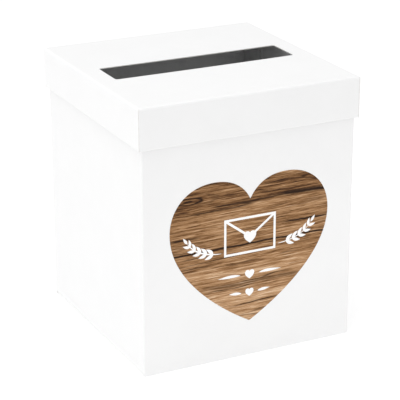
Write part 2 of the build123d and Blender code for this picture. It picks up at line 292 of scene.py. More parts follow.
@dataclass(frozen=True)
class WoodPrint:
    """A digital print of old planks on label paper, under a matt laminate.

    The grain runs along X. Its tone is the sum of broad bands across the grain, patches, fine streaks far
    longer than they are wide, and fibres, less the pores. Dark growth lines are contour lines of a slow
    field, let through by a second noise. Splits and knots are darker still. Lengths are mm.
    """

    name: str = "wood_print_on_label_paper"  # what the surface is
    bottom: float = 33.0  # height of the heart's tip
    top: float = 167.0  # height of the heart's lobes
    wander: Grain = Grain(95.0, 30.0, 12.0, 2.0, 3.0)  # how far the grain strays from level
    patch: Grain = Grain(60.0, 9.0, 0.45, 3.0, 11.0)  # light and dark patches
    streak: Grain = Grain(46.0, 1.3, 1.7, 7.0, 23.0)  # fine streaks along the grain
    # the finest streaks: real ones are 0.05 wide, and these are as coarse as shows
    fibre: Grain = Grain(14.0, 0.65, 1.35, 3.0, 41.0)
    pores: Grain = Grain(9.0, 0.8, 9.0, 2.0, 131.0)  # short dark dashes along the grain
    pore_start: float = 0.9  # their noise darkens the tone where it is over this
    pore_depth: float = 0.2  # how much darker a pore is
    line_spacing: float = 6.5  # between growth lines
    line_drift: Grain = Grain(120.0, 26.0, 3.0, 2.0, 57.0)  # how unevenly the lines lie
    # where a line starts and ends fading, as shares of the spacing
    line_edges: tuple[float, float] = (0.02, 0.09)
    line_gate: Grain = Grain(45.0, 8.0, 6.0, 2.0, 71.0)  # lets a growth line through in some places only
    gate_shift: float = 0.25  # added to the gate; more lets more lines through
    line_depth: float = 0.75  # how dark a line is
    waver: Grain = Grain(38.0, 60.0, 4.5, 3.0, 83.0)  # how far a split strays from straight
    ragged: Grain = Grain(24.0, 3.0, 1.6, 3.0, 97.0)  # what breaks a split up
    unrest: Grain = Grain(22.0, 6.0, 0.9, 2.0, 151.0)  # what keeps a knot from being a true oval
    paper: float = 0.7  # width of a fibre in the label paper, as coarse as shows
    relief: float = 0.02  # height of a fibre in the label paper
    bump: float = 0.2  # strength of that relief
    roughness: float = 0.6  # of the laminate
    gloss: float = 0.15  # of the laminate, which is matt: the print's darks stay dark
    dark: str = "#2B190C"  # colour of splits, knots and growth lines
    # brown from the darkest late wood to the palest early wood
    tones: tuple[tuple[float, str], ...] = (
        *((0.0, "#3C2413"), (0.15, "#5D3D22"), (0.3, "#7D5836"), (0.5, "#9D7650")),
        *((0.7, "#B9916B"), (0.88, "#D0AC88"), (1.0, "#E0C5A8")),
    )
    # tone of the bands across the grain, from the heart's tip up, as greys
    bands: tuple[tuple[float, str], ...] = (
        *((0.0, "#DCDCDC"), (0.13, "#D2D2D2"), (0.19, "#E1E1E1"), (0.24, "#C8C8C8"), (0.285, "#C0C0C0")),
        *((0.32, "#CECECE"), (0.4, "#C8C8C8"), (0.46, "#B4B4B4"), (0.64, "#B4B4B4"), (0.74, "#BEBEBE")),
        *((0.81, "#B0B0B0"), (0.845, "#888888"), (0.89, "#9A9A9A"), (0.95, "#8E8E8E"), (1.0, "#A6A6A6")),
    )
    knots: tuple[Knot, ...] = (
        Knot((-58.0, 153.6), (19.0, 4.2), 1.5, 1.3),
        Knot((64.0, 158.6), (15.0, 3.2), 1.2, 1.0),
        Knot((28.0, 163.5), (14.0, 1.6), 1.0, 0.4),
    )
    splits: tuple[Split, ...] = (
        Split(146.2, -0.008, 22.0, 90.0, 1.7, 1.0),
        Split(145.0, 0.010, -40.0, 60.0, 0.8, 0.75),
        Split(142.0, 0.025, -66.0, 4.0, 0.6, 0.8),
        Split(119.2, 0.006, 30.0, 82.0, 0.65, 1.4),
        Split(119.6, 0.0, -84.0, -44.0, 0.7, 1.0),
        Split(105.8, 0.002, -90.0, 90.0, 0.62, 1.5),
        Split(101.5, 0.010, -72.0, -20.0, 0.45, 0.7),
        Split(92.3, 0.0, -72.0, -32.0, 0.5, 0.8),
        Split(134.5, 0.030, 48.0, 80.0, 2.0, 0.3),
        Split(112.8, 0.0, -80.0, -38.0, 1.2, 0.35),
        Split(70.2, 0.004, -50.0, 56.0, 1.7, 0.5),
        Split(67.5, 0.020, -46.0, 10.0, 0.55, 0.8),
        Split(50.5, 0.030, -22.0, 34.0, 0.5, 1.0),
        Split(42.0, 0.050, -2.0, 24.0, 0.6, 0.8),
    )

    def material(self) -> Material:
        """Builds the node material."""
        material, tree = new_material(self.name)
        add = partial(add_node, tree)
        place = add("ShaderNodeTexCoord").outputs["Object"]
        position = add("ShaderNodeVectorMath", {0: place, "Scale": 1 / MM}, operation="SCALE")
        plank = Plank(add, position, add("ShaderNodeSeparateXYZ", (position,)).outputs)
        level = add(MATH, (plank.axes["Z"], self.wander.pattern(plank)), operation="ADD")
        paper = add("ShaderNodeTexNoise", {"Vector": place, "Scale": 1 / (self.paper * MM), "Detail": 4.0})
        bumps = {"Height": paper, "Strength": self.bump, "Distance": self.relief * MM}
        mixing = {
            "Factor": self.darkness(plank, level),
            6: add("ShaderNodeValToRGB", (self.tone(plank, level),), self.tones),
            7: linear(self.dark),
        }
        finish_shader(
            tree,
            {
                "Base Color": add("ShaderNodeMix", mixing, data_type="RGBA"),
                "Roughness": self.roughness,
                "Specular IOR Level": self.gloss,
                "Normal": add("ShaderNodeBump", bumps),
                "IOR": 1.46,
            },
        )
        return material

    def tone(self, plank: Plank, level: Node) -> Node:
        """Adds the grain's tone: band, patch, streak and fibre, less the pores.

        Args:
            plank: Where it is worked out.
            level: Height along the wandering grain, mm.

        Returns:
            The tone, 0 dark to 1 pale.
        """
        add = plank.add
        height = {"Value": level, "From Min": self.bottom, "From Max": self.top}
        tone = add("ShaderNodeValToRGB", (add("ShaderNodeMapRange", height),), self.bands)
        for grain in (self.patch, self.streak, self.fibre):
            tone = add(MATH, (tone, grain.pattern(plank)), operation="ADD")
        over = (self.pores.pattern(plank), self.pore_start)
        pores = add(MATH, over, operation="SUBTRACT", use_clamp=True)
        return add(MATH, (pores, -self.pore_depth, tone), operation="MULTIPLY_ADD")

    def darkness(self, plank: Plank, level: Node) -> Node:
        """Adds growth lines, knots and splits, and keeps the darkest of them.

        A growth line is where the fraction of level over spacing, plus a drift, is close to a half.

        Args:
            plank: Where it is worked out.
            level: Height along the wandering grain, mm.

        Returns:
            The darkness, from 0 to 1.
        """
        add = plank.add
        count = (level, 1 / self.line_spacing, self.line_drift.pattern(plank))
        part = add(MATH, (add(MATH, count, operation="MULTIPLY_ADD"),), operation="FRACT")
        off = add(MATH, (add(MATH, (part, 0.5), operation="SUBTRACT"),), operation="ABSOLUTE")
        near, far = self.line_edges
        fading = {"Value": off, "From Min": near, "From Max": far, "To Min": self.line_depth, "To Max": 0.0}
        opening = (self.line_gate.pattern(plank), self.gate_shift)
        gate = add(MATH, opening, operation="ADD", use_clamp=True)
        darkest = add(MATH, (add("ShaderNodeMapRange", fading), gate), operation="MULTIPLY")
        unrest, waver = self.unrest.pattern(plank), self.waver.pattern(plank)
        ragged = add(MATH, (self.ragged.pattern(plank), 1.0), operation="ADD")
        marks = [knot.darkness(plank, unrest) for knot in self.knots]
        marks += [split.darkness(plank, waver, ragged) for split in self.splits]
        for mark in marks:
            darkest = add(MATH, (darkest, mark), operation="MAXIMUM")
        return darkest


@dataclass(frozen=True)
class LitFloor:
    """A white acrylic floor that is lit a little from below, so that shadows on it stay faint."""

    name: str = "white_acrylic_floor"  # what the surface is
    colour: str = "#CECECE"  # its colour
    roughness: float = 0.8  # of its dullest spots
    mottle: float = 0.1  # how much smoother the other spots are, which is all that acrylic shows
    glow: float = 0.42  # strength of the light that comes through it

    def material(self) -> Material:
        """Builds the node material."""
        material, tree = new_material(self.name)
        add = partial(add_node, tree)
        place = add("ShaderNodeTexCoord").outputs["Object"]
        noise = add("ShaderNodeTexNoise", {"Vector": place, "Scale": 4.0, "Detail": 3.0})
        rougher = {"Value": noise, "To Min": self.roughness - self.mottle, "To Max": self.roughness}
        finish_shader(
            tree,
            {
                "Base Color": linear(self.colour),
                "Roughness": add("ShaderNodeMapRange", rougher),
                "Emission Color": linear("#FFFFFF"),
                "Emission Strength": self.glow,
            },
        )
        return material


# Solid bleached board, clay-coated and calendered on the outside: a smooth satin white.
COATED_FACE = PaperFinish("coated_white_board", "#EEEEEE", "#EDEDED", "#F0F0F0", 0.42, 1.4, 0.02)
# The same board's uncoated inside: a matte, slightly grey and fibrous white.
BARE_BACK = PaperFinish("bare_board_inside", "#E7E7E7", "#E2E2E2", "#E7E7E7", 0.9, 1.1, 0.06, 16.0)
# The die-cut edge, where the pulp shows: matte, a little warmer than the faces.
CUT_EDGE = PaperFinish("die_cut_board_edge", "#EAE9E7", "#E3E2DF", "#EAE9E7", 1.0, 0.5, 0.05, 3.0)
# Label paper at the heart's cut edge.
LABEL_EDGE = PaperFinish("label_paper_edge", "#E9E6E1", "#E2DFDA", "#E9E6E1", 0.85, 0.5, 0.03, 4.0)
# Opaque white ink, laid on thickly enough to stand proud of the print.
WHITE_INK = PaperFinish("raised_white_ink", "#F8F8F8", "#F5F5F5", "#F8F8F8", 0.5, 0.8, 0.01, 9.0)


# ---- board as a shell --------------------------------------------------------------------------------
class Side(Enum):
    """A side of the box, as the direction that its outer face looks in."""

    FRONT = (0, -1)
    BACK = (0, 1)
    LEFT = (-1, 0)
    RIGHT = (1, 0)

    @property
    def across(self) -> bool:
        """True for the front and back, which run along X."""
        return self.value[0] == 0

    def reach(self, node: str) -> tuple[float, float]:
        """How far a CAD node reaches from the middle along this side and outward, mm."""
        x, y, _ = np.abs(extent(node)).max(axis=0)
        return (x, y) if self.across else (y, x)

    def place(self, along: np.ndarray, outward: np.ndarray, up: np.ndarray) -> np.ndarray:
        """Turns a side's own coordinates into the box's.

        Seen from outside, along runs to the right. The point is along times the side's direction turned
        back by 90 degrees, plus outward times that direction, at the same height.

        Args:
            along: Distances from the side's middle, mm.
            outward: Distances from the box's middle, mm.
            up: Heights, mm.

        Returns:
            Points, with the three arrays' common shape and a last axis of 3.
        """
        toward_x, toward_y = self.value
        x = -toward_y * along + toward_x * outward
        y = toward_x * along + toward_y * outward
        return np.stack(np.broadcast_arrays(x, y, up), axis=-1)


@dataclass
class BoardShell:
    """A closed piece of board: a grid of points for its face, one for its back, and cut edges between."""

    face: np.ndarray  # rows x columns x 3, mm
    back: np.ndarray  # the same grid on the other skin, mm
    fold: np.ndarray | None = None  # rows x columns: 1 where the board is bent, 0 where it is flat
    wraps: bool = False  # True if the last column meets the first
    missing: np.ndarray | None = None  # cells of the grid where there is no board

    def quads(self) -> tuple[np.ndarray, np.ndarray]:
        """Joins the grid's points into faces.

        A cell's four corners make a quad on the face and, turned over, one on the back. An edge that
        belongs to one cell only is the board's cut edge, and gets a quad from skin to skin.

        Returns:
            Quads as point numbers, and each quad's kind: 0 face, 1 back, 2 cut edge.
        """
        rows, columns = self.face.shape[:2]
        total = rows * columns
        index = np.arange(total).reshape(rows, columns)
        if self.wraps:
            index = np.column_stack([index, index[:, 0]])
        cells = np.stack([index[:-1, :-1], index[:-1, 1:], index[1:, 1:], index[1:, :-1]], axis=-1)
        cells = cells.reshape(-1, 4) if self.missing is None else cells[~self.missing]
        start, end = cells.ravel(), np.roll(cells, -1, axis=1).ravel()
        lone = ~np.isin(start * total + end, end * total + start)
        start, end = start[lone], end[lone]
        rim = np.stack([end, start, start + total, end + total], axis=-1)
        kinds = np.repeat([0, 1, 2], [len(cells), len(cells), len(rim)])
        return np.vstack([cells, cells[:, ::-1] + total, rim]), kinds

    def parts(self) -> tuple[np.ndarray, np.ndarray, np.ndarray, np.ndarray]:
        """Points in metres, quads turned outwards, their kinds, and the fold of each point.

        The shell's volume, as the sum over its triangles of a point times the cross product of the other
        two, is negative if the grid ran the other way, and then every quad is turned over.
        """
        points = np.vstack([self.face.reshape(-1, 3), self.back.reshape(-1, 3)]) * MM
        quads, kinds = self.quads()
        corner = points[quads]
        volume = sum(
            np.einsum("ij,ij", corner[:, 0], np.cross(corner[:, i], corner[:, i + 1])) for i in (1, 2)
        )
        fold = np.zeros(self.face.shape[:2]) if self.fold is None else self.fold
        return points, quads if volume > 0 else quads[:, ::-1], kinds, np.tile(fold.ravel(), 2)


def build_piece(
    name: str, shells: Sequence[BoardShell], finishes: Sequence[Material]
) -> Object:
    """Makes one object of one or more shells, with coincident points welded and its edges crisp.

    Args:
        name: The piece's name.
        shells: What it is made of.
        finishes: Materials of the face, the back and the cut edge.

    Returns:
        The new object, in the scene.
    """
    points, quads, kinds, fold = zip(*(shell.parts() for shell in shells))
    first = np.cumsum([0] + [len(each) for each in points[:-1]])
    quads = np.vstack([each + start for each, start in zip(quads, first)])
    mesh = bpy.data.meshes.new(name)
    mesh.from_pydata(np.vstack(points).tolist(), [], quads.tolist())
    mesh.polygons.foreach_set("material_index", np.concatenate(kinds).astype(np.int32))
    attribute = mesh.attributes.new("fold", "FLOAT", "POINT")
    attribute.data.foreach_set("value", np.concatenate(fold).astype(np.float32))
    shell = bmesh.new()
    shell.from_mesh(mesh)
    bmesh.ops.remove_doubles(shell, verts=shell.verts, dist=WELD)
    bmesh.ops.dissolve_degenerate(shell, edges=shell.edges, dist=WELD)
    shell.to_mesh(mesh)
    shell.free()
    for finish in finishes:
        mesh.materials.append(finish)
    mesh.shade_smooth()
    mesh.set_sharp_from_angle(angle=np.radians(SHARP_ANGLE))
    return link_object(name, mesh)


def arc_rows(
    centre: tuple[float, float], face: float, back: float, start: float, end: float, steps: int = 8
) -> np.ndarray:
    """Rows of a section round a fold: its centre plus a radius times (cos, sin) of the angle.

    Args:
        centre: Outward and up, mm.
        face: Radius of the face, mm.
        back: Radius of the back, mm.
        start: First angle in degrees; 0 points outward and 90 up.
        end: Last angle in degrees.
        steps: Number of cells round the fold.

    Returns:
        Rows of face outward, face up, back outward, back up and fold.
    """
    angle = np.radians(np.linspace(start, end, steps + 1))
    way = np.stack([np.cos(angle), np.sin(angle)], axis=-1)
    return np.column_stack([centre + face * way, centre + back * way, np.ones(steps + 1)])


def straight_rows(face: float, back: float, low: float, high: float, steps: int = 12) -> np.ndarray:
    """Rows of a section's straight stretch, with a row close to each end so that its shading stays flat."""
    near = min(MARGIN, (high - low) / 4)
    up = np.r_[low, np.linspace(low + near, high - near, steps), high]
    return np.column_stack([np.full_like(up, face), up, np.full_like(up, back), up, np.zeros_like(up)])


def upturned_rows(
    distance: float, floor: float, top: float, radius: float, board: float, turn: int = 1
) -> np.ndarray:
    """Rows of a lower fold of 90 degrees, and of the straight board above it.

    Args:
        distance: Of the straight face from the middle, mm.
        floor: Height of the fold's lowest point, mm.
        top: Where the board ends, mm.
        radius: The fold's radius on the face, mm.
        board: Board thickness, mm.
        turn: 1 if the board rises on the fold's outer side, -1 on its inner side.

    Returns:
        Rows as arc_rows gives them.
    """
    centre = (distance - turn * radius, floor + radius)
    fold = arc_rows(centre, radius, radius - board, -90, 90 * (turn - 1))
    return np.vstack([fold, straight_rows(distance, distance - turn * board, centre[1], top)[1:]])


def plain_columns(half: float, steps: int = 24) -> np.ndarray:
    """Columns of a panel that is straight from end to end: face along, back along, and both insets."""
    along = np.linspace(-half, half, steps + 1)
    return np.column_stack([along, along, np.zeros_like(along), np.zeros_like(along)])


def turned_columns(half: float, face: float, back: float, turn: float, steps: int = 6) -> np.ndarray:
    """Columns of a panel that turns round an upright fold at both ends.

    Past the fold's start, the angle a runs from 0 to turn: along is the start plus radius times sin a, and
    the inset radius times (1 - cos a).

    Args:
        half: Half length with the whole fold, mm.
        face: The fold's radius on the face, mm.
        back: The fold's radius on the back, mm.
        turn: Degrees that belong to this panel.
        steps: Cells round each fold.

    Returns:
        Rows of face along, back along, face inset and back inset, from left to right.
    """
    angle = np.radians(np.linspace(0, turn, steps + 1))
    across, inset = np.sin(angle), 1 - np.cos(angle)
    start = half - face
    right = np.column_stack([start + face * across, start + back * across, face * inset, back * inset])
    left = right[::-1] * (-1, -1, 1, 1)
    return np.vstack([left, plain_columns(start - MARGIN), right])


@dataclass
class FoldedPanel:
    """A panel: its section across the creases, carried along them.

    A point is the column's distance along, the row's distance outward less the column's inset, and the
    row's height less the column's share of a rounded corner.
    """

    side: Side  # the side that it is on
    rows: np.ndarray  # the section from its lower end up, as arc_rows and straight_rows give it
    columns: np.ndarray  # the places along it, as plain_columns and turned_columns give them
    relief: float | None = None  # distance from the middle past which the lower fold is cut away, mm
    relief_floor: float = 0.0  # where the panel ends past the relief, mm
    corner: float = 0.0  # rounding of the two upper corners, mm

    def shell(self) -> BoardShell:
        """Works the panel out as a grid of rows and columns."""
        rows, columns = self.rows, self.columns
        missing = None
        corner_rows = rows.copy()
        outside = np.zeros(len(columns), bool)
        if self.relief is not None:
            cut = np.array([[self.relief, self.relief, 0.0, 0.0]])
            along = columns[:, 0]
            left, right = columns[along < -self.relief], columns[along > self.relief]
            middle = columns[np.abs(along) < self.relief]
            mirrored = cut * (-1, -1, 1, 1)
            columns = np.vstack([left, mirrored, mirrored, middle, cut, cut, right])
            outside = np.ones(len(columns), bool)
            outside[len(left) + 1 : len(columns) - len(right) - 1] = False
            bent = int(np.argmax(rows[:, 4] < 1))  # rows in the lower fold, with its last one
            face, top, back = rows[bent, 0], rows[bent - 1, 1], rows[bent, 2]
            up = np.linspace(self.relief_floor, top, bent)
            corner_rows[:bent] = np.column_stack(
                [np.full(bent, face), up, np.full(bent, back), up, np.zeros(bent)]
            )
            missing = np.zeros((len(rows) - 1, len(columns) - 1), bool)
            missing[: bent - 1, outside[1:] != outside[:-1]] = True

        half = np.abs(columns[:, 0]).max()
        past = np.clip(np.abs(columns[:, 0]) - (half - self.corner), 0, None)
        drop = self.corner - np.sqrt(np.clip(self.corner**2 - past**2, 0, None))
        flat = rows[:, 4] == 0
        low, high = rows[flat, 1].min(), rows[flat, 1].max()
        lift = np.where(flat, (rows[:, 1] - low) / (high - low), 0.0)[:, None] * drop

        def skin(section: np.ndarray, at: int) -> np.ndarray:
            """One skin of the board: at is 0 for the face and 1 for the back."""
            outward = section[:, 2 * at, None] - columns[:, 2 + at]
            return self.side.place(columns[:, at], outward, section[:, 2 * at + 1, None] - lift)

        pick = outside[None, :, None]
        face, back = (np.where(pick, skin(corner_rows, at), skin(rows, at)) for at in (0, 1))
        fold = np.where(outside[None, :], corner_rows[:, 4, None], rows[:, 4, None])
        return BoardShell(face, back, fold, missing=missing)


def flap_shell(
    box: Sequence[Sequence[float]],
    face: tuple[int, int],
    root: tuple[int, int],
    taper: float = 0.0,
    steps: int = 8,
) -> BoardShell:
    """A flat flap that fills a box, narrowed towards its free edge.

    A point is set by two shares: u from the root to the free edge, and v across, between two edges that
    have come in by u times the taper.

    Args:
        box: Its lowest and highest corner, mm.
        face: The axis of its thickness, and the corner, 0 or 1, that its face goes through.
        root: The axis from its root to its free edge, and the corner that its root goes through.
        taper: How far each edge comes in, mm.
        steps: Cells each way.

    Returns:
        The shell.
    """
    (flat, near), (run, first) = face, root
    across = 3 - flat - run
    u, v = np.meshgrid(*2 * [np.linspace(0, 1, steps + 1)], indexing="ij")
    inset = taper * u
    skin = np.empty((*u.shape, 3))
    skin[..., flat] = box[near][flat]
    skin[..., run] = (1 - u) * box[first][run] + u * box[1 - first][run]
    skin[..., across] = (1 - v) * (box[0][across] + inset) + v * (box[1][across] - inset)
    back = skin.copy()
    back[..., flat] = box[1 - near][flat]
    return BoardShell(skin, back)


def corner_loop(half_x: float, half_y: float, corner: float, square: bool = False) -> np.ndarray:
    """A closed outline: four straight sides and four corners, round or square.

    A corner point is the corner's centre plus its size times (cos, sin) of the angle; for a square corner
    that direction is divided by its longer component.

    Args:
        half_x: Half size along X, mm.
        half_y: Half size along Y, mm.
        corner: Size of a corner, mm.
        square: True for square corners.

    Returns:
        Points x 2, anticlockwise, with the same count whatever the shape.
    """
    per_corner, per_side = 12, 14
    centres = np.array([(1, 1), (-1, 1), (-1, -1), (1, -1)]) * (half_x - corner, half_y - corner)
    angle = np.radians(np.linspace(0, 90, per_corner + 1) + 90 * np.arange(4)[:, None])
    way = np.stack([np.cos(angle), np.sin(angle)], axis=-1)
    if square:
        way = way / np.abs(way).max(axis=-1, keepdims=True)
    corners = centres[:, None] + corner * way
    following = np.roll(corners, -1, axis=0)[:, :1]
    share = np.linspace(0, 1, per_side + 2)[1:-1, None]
    sides = corners[:, -1:] * (1 - share) + following * share
    return np.concatenate([corners, sides], axis=1).reshape(-1, 2)


# ---- sub-assemblies ----------------------------------------------------------------------------------
@dataclass
class SubAssembly:
    """Pieces of one blank or label, and what they are finished with."""

    finishes: Sequence[Material]  # materials of the face, the back and the cut edge
    slot: str = "white_board"  # name of a material slot; not used
    pieces: list[Object] = field(default_factory=list)  # the pieces made so far

    def add(
        self, shells: BoardShell | Sequence[BoardShell], name: str, body: str, *nodes: str
    ) -> Object:
        """Makes a piece, sets it on its body, and lets it stand for its CAD nodes."""
        shells = [shells] if isinstance(shells, BoardShell) else shells
        piece = build_piece(name, shells, self.finishes)
        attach(piece, body)
        if nodes:
            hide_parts(*nodes)
        self.pieces.append(piece)
        return piece


@dataclass
class Blank(SubAssembly):
    """A sub-assembly that is cut and creased from one kind of board."""

    board: float = 0.8  # board thickness, mm
    crease: float = 1.5  # outside radius of a fold, mm


@dataclass
class BodyBlank(Blank):
    """The box body: four walls and a glue flap."""

    relief: float = 3.0  # how far a base flap stops short of the box's upright folds, mm
    flap_end: float = 12.0  # slant at the glue flap's two ends, mm

    def build(self) -> None:
        """Makes the walls, and the flap that is glued inside the right wall, with its face to the glue."""
        self.wall(Side.FRONT, "front_wall", None)
        self.wall(Side.BACK, "back_wall", 0.0)
        self.wall(Side.LEFT, "left_wall", self.board)
        self.wall(Side.RIGHT, "right_wall", self.board)
        flap = flap_shell(extent("glue_flap"), (0, 1), (1, 1), self.flap_end)
        self.add(flap, "glue_flap_board", "box", "glue_flap")

    def wall(self, side: Side, node: str, underside: float | None) -> None:
        """Makes a wall with half of each upright fold, and the fold to its base flap if it has one.

        Args:
            side: Where it stands.
            node: The CAD node that it stands for.
            underside: Height of the lower face of its base flap, mm; None for a wall without a flap.
        """
        low, high = extent(node)
        along, distance = side.reach(node)
        half = along - self.crease * np.sin(np.pi / 4) + self.crease
        columns = turned_columns(half, self.crease, self.crease - self.board, 45)
        if underside is None:
            rows = straight_rows(distance, distance - self.board, low[2], high[2])
            panel = FoldedPanel(side, rows, columns)
        else:
            rows = upturned_rows(distance, underside, high[2], self.crease, self.board)
            panel = FoldedPanel(side, rows, columns, relief=half - self.relief)
        self.add(panel.shell(), f"{node}_board", "box", node)


@dataclass
class BaseFlaps(Blank):
    """The closing flaps: base panel, tuck tab and two dust flaps."""

    tuck_corner: float = 6.0  # rounding of the tuck tab's upper corners, mm
    tuck_middle: float = 80.0  # half length of the tab's middle stretch, mm
    taper: float = 8.0  # how far a dust flap's long sides slant in, mm

    def build(self) -> None:
        """Makes the four flaps, each with its face down."""
        self.add(flap_shell(extent("base_panel"), (2, 0), (1, 1)), "base_panel_board", "base", "base_panel")
        self.tuck_tab()
        for corner, hand in enumerate(("left", "right")):
            node = f"{hand}_dust_flap"
            flap = flap_shell(extent(node), (2, 0), (0, corner), self.taper)
            self.add(flap, f"{node}_board", f"{hand}_flap", node)

    def tuck_tab(self) -> None:
        """Makes the tab: a fold up from the base panel and a short upright with rounded corners."""
        low, high = extent("base_tuck_tab")
        rows = upturned_rows(-low[1], low[2], high[2], self.crease, self.board)
        rounded = np.linspace(high[0] - self.tuck_corner, high[0], 13)
        middle = np.linspace(-self.tuck_middle, self.tuck_middle, 17)
        along = np.r_[-rounded[::-1], middle, rounded]
        columns = np.column_stack([along, along, 0 * along, 0 * along])
        panel = FoldedPanel(Side.FRONT, rows, columns, corner=self.tuck_corner)
        self.add(panel.shell(), "base_tuck_tab_board", "tuck", "base_tuck_tab")


@dataclass
class LidBlank(Blank):
    """The lid: a top with the card slot, four skirts with their linings, and four corner tabs."""

    slot_half: tuple[float, float] = (87.0, 18.75)  # half length and half width of the card slot, mm
    slot_corner: float = 2.5  # rounding of the slot's corners, mm
    flat_corner: float = 22.0  # length of the top's square corners, for the grid's sake only, mm
    sag: float = 0.3  # how far the top sinks at its middle, mm
    end_fold: float = 0.2  # rounding where a front or back skirt turns behind a side skirt, mm
    end_gap: float = 0.3  # how far short of that a side skirt's lower fold stops, mm
    tab_taper: float = 5.0  # how much a corner tab narrows at each edge, mm

    def build(self) -> None:
        """Makes all the lid's pieces."""
        self.top()
        for side, name in zip(Side, ("front", "back", "left", "right")):
            self.skirt(side, name)
            self.lining(side, name)
        for end, name in enumerate(("front", "back")):
            for hand, hand_name in enumerate(("left", "right")):
                node = f"lid_corner_tab_{name}_{hand_name}"
                tab = flap_shell(extent(node), (0, hand), (1, end), self.tab_taper)
                self.add(tab, f"{node}_board", "lid", node)

    def top(self) -> None:
        """Makes the top, as rings from the slot's edge out to the middle of the folds.

        On the flat, a ring is a blend of the slot's outline and the flat's outline. On the fold, at an
        angle a, it is a rectangle that has grown by radius times sin a and sunk by radius times
        (1 - cos a). The sag is its depth times (1 - (x/half)^2) times (1 - (y/half)^2).
        """
        low, high = extent("lid_top")
        half = high[:2] - self.crease * np.sin(np.pi / 4)  # of the flat
        inner = corner_loop(*self.slot_half, self.slot_corner)
        outer = corner_loop(*half, self.flat_corner, square=True)
        share = np.r_[0, 0.008, np.linspace(0.15, 0.85, 6), 0.992, 1][:, None, None]
        flat = inner * (1 - share) + outer * share
        angle = np.radians(np.linspace(0, 45, 7)[1:])[:, None, None]

        def skin(radius: float, level: float) -> np.ndarray:
            """One skin: its fold radius, and its height on the flat."""
            rings = outer * (1 + radius * np.sin(angle) / half)
            dish = self.sag * np.prod(1 - np.clip(np.abs(flat) / half, 0, 1) ** 2, axis=-1, keepdims=True)
            fall = np.broadcast_to(level - radius * (1 - np.cos(angle)), (*rings.shape[:2], 1))
            flat_rows = np.concatenate([flat, level - dish], axis=-1)
            return np.concatenate([flat_rows, np.concatenate([rings, fall], axis=-1)])

        face = skin(self.crease, high[2])
        back = skin(self.crease - self.board, high[2] - self.board)
        fold = np.zeros(face.shape[:2])
        fold[len(flat) - 1 :] = 1
        self.add(BoardShell(face, back, fold, wraps=True), "lid_top_board", "lid", "lid_top")

    def lower_fold(self, side: Side) -> float:
        """Radius of a skirt's lower fold, mm: a side skirt folds round a corner tab too."""
        return self.board if side.across else 1.5 * self.board

    def skirt(self, side: Side, name: str) -> None:
        """Makes a skirt: half of the upper fold, the straight side, and half of the fold to its lining."""
        node = f"lid_{name}_skirt"
        half, distance = side.reach(node)
        bottom = extent(node)[0][2]
        top = extent("lid_top")[1][2] - self.crease
        upper = arc_rows((distance - self.crease, top), self.crease, self.crease - self.board, 0, 45)
        lower = upturned_rows(distance, bottom, top, self.lower_fold(side), self.board)
        rows = np.vstack([lower[:-1], upper])
        if side.across:
            columns = turned_columns(half, self.end_fold, self.end_fold, 90)
            columns[:, 3] = 0.0  # only the face is rounded: the board itself turns behind the side skirt
            panel = FoldedPanel(side, rows, columns)
        else:
            relief = half - self.board - self.end_gap
            panel = FoldedPanel(side, rows, plain_columns(half), relief, relief_floor=bottom)
        self.add(panel.shell(), f"{node}_board", "lid", node)

    def lining(self, side: Side, name: str) -> None:
        """Makes a lining: the other half of the lower fold, and the board turned up behind the skirt."""
        node = f"lid_{name}_hem"
        low, high = extent(node)
        nearest = np.abs([low, high]).min(axis=0)[1 if side.across else 0]
        rows = upturned_rows(nearest, low[2], high[2], self.lower_fold(side), self.board, turn=-1)
        panel = FoldedPanel(side, rows, plain_columns(side.reach(node)[0]))
        self.add(panel.shell(), f"lid_{name}_lining", "lid", node)


def bezier(points: Sequence[Sequence[float]], steps: int) -> np.ndarray:
    """A cubic curve: (1-t)^3 a + 3 (1-t)^2 t b + 3 (1-t) t^2 c + t^3 d, for t from 0 to just under 1."""
    a, b, c, d = (np.array(point, float) for point in points)
    t = np.linspace(0, 1, steps, endpoint=False)[:, None]
    return (1 - t) ** 3 * a + 3 * (1 - t) ** 2 * t * b + 3 * (1 - t) * t**2 * c + t**3 * d


def heart_outline(width: float, height: float, steps: int = 28) -> np.ndarray:
    """A heart's closed outline, from its notch round the right lobe to the tip, and back on the left.

    Three cubic curves make the right half: notch to lobe, lobe to widest point, and down to the tip. The
    left half is their mirror image.

    Args:
        width: Full width.
        height: From the tip to the tops of the lobes.
        steps: Points on each curve.

    Returns:
        Points x 2, with the tip at (0, 0).
    """
    half, widest, notch, lobe = width / 2, 0.6945 * height, 0.8514 * height, 0.2252 * width
    rise = height - widest
    curves = [
        [(0, notch), (0.17 * lobe, notch + 0.29 * rise), (0.49 * lobe, height), (lobe, height)],
        [
            (lobe, height),
            (lobe + 0.61 * (half - lobe), height),
            (half, widest + 0.57 * rise),
            (half, widest),
        ],
        [(half, widest), (half, 0.57 * widest), (0.43 * half, 0.2 * widest), (0, 0)],
    ]
    right = np.vstack([bezier(curve, steps) for curve in curves] + [[(0.0, 0.0)]])
    return np.vstack([right, right[-2:0:-1] * (-1, 1)])


@dataclass
class HeartLabel(SubAssembly):
    """The wood-print heart on the front wall."""

    hub: float = 0.6  # height of the point that its rings spread from, as a share of its height

    def build(self) -> None:
        """Makes the label as rings: a point is the hub plus a share of the way to the outline."""
        low, high = extent("heart_label")
        outline = heart_outline(high[0] - low[0], high[2] - low[2])
        hub = np.array([0.0, self.hub * (high[2] - low[2])])
        share = np.r_[np.linspace(0, 0.98, 9), 1][:, None, None]
        rings = hub + share * (outline - hub)
        x, z = rings[..., 0], rings[..., 1] + low[2]
        face = np.stack([x, np.full_like(x, low[1]), z], axis=-1)
        back = np.stack([x, np.full_like(x, high[1]), z], axis=-1)
        self.add(BoardShell(face, back, wraps=True), "heart_label_print", "box", "heart_label")


